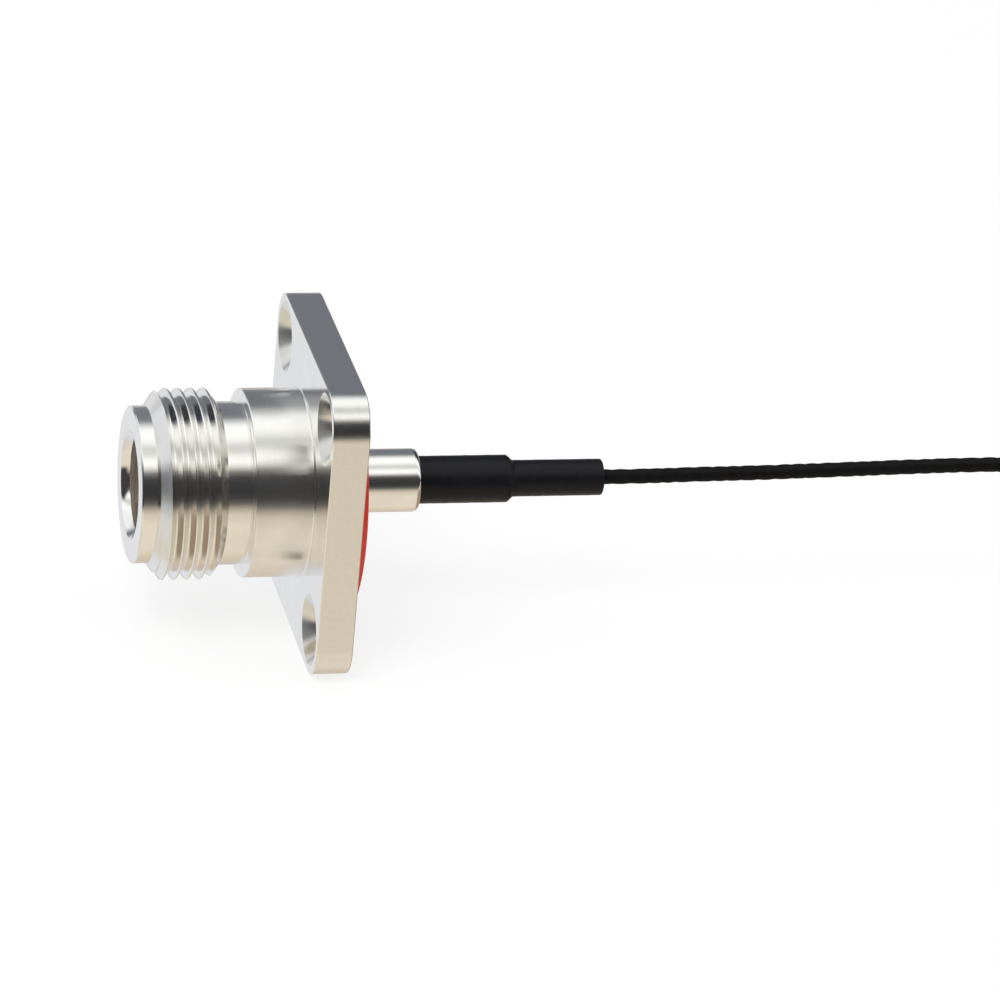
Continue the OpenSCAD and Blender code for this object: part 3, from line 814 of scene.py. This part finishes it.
def make_floor():
    """A pale floor with the part's shadow. Reflections pass through it to the studio below."""
    mesh = bpy.data.meshes.new("floor")
    s = FLOOR_HALF
    mesh.from_pydata([(-s, -s, 0), (s, -s, 0), (s, s, 0), (-s, s, 0)], [], [(0, 1, 2, 3)])
    floor = bpy.data.objects.new("floor", mesh)
    floor.location.z = FLOOR_Z - FLOOR_GAP
    bpy.context.scene.collection.objects.link(floor)
    mat = bpy.data.materials.new("pale_floor")
    mat.use_nodes = True
    t = mat.node_tree
    t.nodes.clear()
    out = t.nodes.new("ShaderNodeOutputMaterial")
    path = t.nodes.new("ShaderNodeLightPath")
    diffuse = t.nodes.new("ShaderNodeBsdfDiffuse")
    diffuse.inputs["Color"].default_value = (0.9, 0.9, 0.9, 1)
    glow = t.nodes.new("ShaderNodeEmission")
    glow.inputs["Strength"].default_value = 1.0
    clear = t.nodes.new("ShaderNodeBsdfTransparent")
    share = t.nodes.new("ShaderNodeMath")
    share.operation = "MULTIPLY"
    share.inputs[1].default_value = FLOOR_WHITE
    t.links.new(path.outputs["Is Camera Ray"], share.inputs[0])
    seen = t.nodes.new("ShaderNodeMixShader")
    t.links.new(share.outputs[0], seen.inputs["Fac"])
    t.links.new(diffuse.outputs[0], seen.inputs[1])
    t.links.new(glow.outputs[0], seen.inputs[2])
    both = t.nodes.new("ShaderNodeMixShader")
    t.links.new(path.outputs["Is Glossy Ray"], both.inputs["Fac"])
    t.links.new(seen.outputs[0], both.inputs[1])
    t.links.new(clear.outputs[0], both.inputs[2])
    t.links.new(both.outputs[0], out.inputs["Surface"])
    mesh.materials.append(mat)


# Angle about the X axis from the front (-Y) upwards, and what the studio shows there
STUDIO = [(-180, (0.50, 0.48, 0.48)), (-150, (0.62, 0.58, 0.55)), (-118, (0.70, 0.60, 0.49)),
          (-99, (0.79, 0.69, 0.55)), (-85, (0.86, 0.77, 0.64)), (-35, (0.86, 0.77, 0.63)),
          (-19, (0.73, 0.65, 0.52)), (-11, (0.48, 0.42, 0.34)), (-4, (0.16, 0.155, 0.14)),
          (4, (0.062, 0.06, 0.06)), (12, (0.044, 0.044, 0.045)), (26, (0.052, 0.05, 0.053)),
          (34, (0.075, 0.074, 0.076)), (41, (0.23, 0.22, 0.215)), (48, (0.82, 0.79, 0.75)),
          (54, (1.16, 1.16, 1.13)), (58, (1.18, 1.18, 1.17)), (64, (1.04, 1.04, 1.01)),
          (71, (0.79, 0.79, 0.77)), (78, (0.75, 0.75, 0.73)), (87, (1.02, 1.02, 1.0)),
          (95, (1.19, 1.19, 1.17)), (106, (1.2, 1.2, 1.2)), (114, (1.10, 1.11, 1.11)),
          (121, (0.78, 0.79, 0.80)), (126, (0.52, 0.53, 0.54)), (131, (0.29, 0.305, 0.325)),
          (138, (0.215, 0.225, 0.245)), (152, (0.20, 0.212, 0.245)), (170, (0.215, 0.225, 0.26)),
          (180, (0.235, 0.245, 0.285))]
BRIGHTEST = 1.25
# Regions of the studio that depart from that, by direction
BACK_LIGHT = (0.81, 0.82, 0.85)
HIGH_LIGHT = (1.02, 1.03, 1.05)
HIGH_DARK = (0.05, 0.05, 0.06)
LOW_CREAM = (0.76, 0.71, 0.62)
LOW_BROWN = (0.40, 0.31, 0.22)
LEFT_LIGHT = (0.42, 0.43, 0.44)
AXIS_LIGHT = (0.17, 0.175, 0.185)
NEAR_DARK = (0.055, 0.05, 0.05)


def make_world():
    """The soft studio that the metal reflects; the camera itself sees plain white."""
    world = bpy.data.worlds.new("studio")
    bpy.context.scene.world = world
    world.use_nodes = True
    t = world.node_tree
    t.nodes.clear()

    def math_node(op, a, b=None, clamp=False):
        node = t.nodes.new("ShaderNodeMath")
        node.operation = op
        node.use_clamp = clamp
        for i, v in enumerate((a, b)):
            if v is None:
                continue
            if isinstance(v, (int, float)):
                node.inputs[i].default_value = v
            else:
                t.links.new(v, node.inputs[i])
        return node.outputs[0]

    out = t.nodes.new("ShaderNodeOutputWorld")
    coord = t.nodes.new("ShaderNodeTexCoord")
    split = t.nodes.new("ShaderNodeSeparateXYZ")
    t.links.new(coord.outputs["Generated"], split.inputs[0])
    forward = math_node("MULTIPLY", split.outputs["Y"], -1.0)
    angle = math_node("ARCTAN2", split.outputs["Z"], forward)
    place = math_node("ADD", math_node("DIVIDE", angle, 2 * math.pi), 0.5)
    ramp = t.nodes.new("ShaderNodeValToRGB")
    els = ramp.color_ramp.elements
    els.remove(els[-1])
    for i, (deg, col) in enumerate(STUDIO):
        pos = (deg + 180) / 360
        e = els[0] if i == 0 else els.new(pos)
        e.position = pos
        e.color = (*[c / BRIGHTEST for c in col], 1)
    t.links.new(place, ramp.inputs["Fac"])

    def mixed(share, colour_a, colour_b):
        """colour_a where share is 0, colour_b where it is 1."""
        mix = t.nodes.new("ShaderNodeMix")
        mix.data_type = "RGBA"
        t.links.new(share, mix.inputs["Factor"])
        t.links.new(colour_a, mix.inputs[6])
        mix.inputs[7].default_value = (*[c / BRIGHTEST for c in colour_b], 1)
        return mix.outputs[2]

    def rising(value, a, b):
        """0 at a, 1 at b, straight in between."""
        return math_node("DIVIDE", math_node("SUBTRACT", value, a), b - a, clamp=True)

    def region(*shares):
        """1 where all the shares are 1."""
        whole = shares[0]
        for share in shares[1:]:
            whole = math_node("MULTIPLY", whole, share)
        return whole

    x, y, z = (split.outputs[k] for k in "XYZ")
    colour = ramp.outputs["Color"]
    # low behind the part the studio is light, but warm towards the right
    colour = mixed(region(rising(x, 0.14, -0.14), rising(z, 0.14, -0.12), rising(y, -0.1, 0.35)),
                   colour, BACK_LIGHT)
    # far towards the mouth the whole back is half light
    colour = mixed(region(rising(x, -0.40, -0.58), rising(z, 0.42, 0.30), rising(z, -0.40, -0.15),
                          rising(y, -0.05, 0.25)), colour, BACK_LIGHT)
    # high behind the part, it is light towards the mouth and dark towards the lead
    colour = mixed(region(rising(x, -0.15, -0.5), rising(z, 0.25, 0.45), rising(y, 0.0, 0.3)),
                   colour, HIGH_LIGHT)
    colour = mixed(region(rising(x, 0.215, 0.28), rising(z, 0.0, 0.2), rising(y, 0.3, 0.5)),
                   colour, HIGH_DARK)
    # low towards the mouth it is cream, and low towards the lead it is brown
    colour = mixed(region(rising(x, -0.45, -0.6), rising(z, -0.48, -0.62), rising(y, -0.25, -0.1)),
                   colour, LOW_CREAM)
    colour = mixed(region(rising(x, 0.32, 0.44), rising(z, -0.1, -0.35)),
                   colour, LOW_BROWN)
    # and it darkens towards the jack's own axis
    colour = mixed(region(rising(x, -0.90, -0.955), rising(y, 0.34, 0.24), 0.85),
                   colour, LEFT_LIGHT)
    colour = mixed(region(rising(x, -0.948, -0.973), rising(y, 0.34, 0.24), 0.9),
                   colour, AXIS_LIGHT)
    # the camera's own side is dark towards the mouth
    colour = mixed(region(rising(x, -0.70, -0.80), rising(y, -0.04, -0.14),
                          rising(z, -0.33, -0.22), rising(z, 0.54, 0.44)),
                   colour, NEAR_DARK)
    studio = t.nodes.new("ShaderNodeBackground")
    studio.inputs["Strength"].default_value = BRIGHTEST
    t.links.new(colour, studio.inputs["Color"])
    white = t.nodes.new("ShaderNodeBackground")
    path = t.nodes.new("ShaderNodeLightPath")
    white.inputs["Color"].default_value = (1, 1, 1, 1)
    white.inputs["Strength"].default_value = 1.0
    both = t.nodes.new("ShaderNodeMixShader")
    t.links.new(path.outputs["Is Camera Ray"], both.inputs["Fac"])
    t.links.new(studio.outputs[0], both.inputs[1])
    t.links.new(white.outputs[0], both.inputs[2])
    t.links.new(both.outputs[0], out.inputs["Surface"])


LAMP_AT, LAMP_TARGET = (-0.35, -0.45, 0.75), (0.01, 0, 0)
LAMP_SIZE, LAMP_POWER = 0.5, 6.0


def make_lamp():
    """One soft lamp for the shadow; reflections don't show it."""
    data = bpy.data.lights.new("key", "AREA")
    data.shape = "SQUARE"
    data.size = LAMP_SIZE
    data.energy = LAMP_POWER
    obj = bpy.data.objects.new("key", data)
    obj.location = LAMP_AT
    obj.rotation_mode = "QUATERNION"
    obj.rotation_quaternion = (Vector(LAMP_TARGET) - Vector(LAMP_AT)).to_track_quat("-Z", "Y")
    bpy.context.scene.collection.objects.link(obj)
    obj.visible_glossy = False


make_floor()
make_world()
make_lamp()
bpy.context.scene.view_settings.view_transform = "Standard"
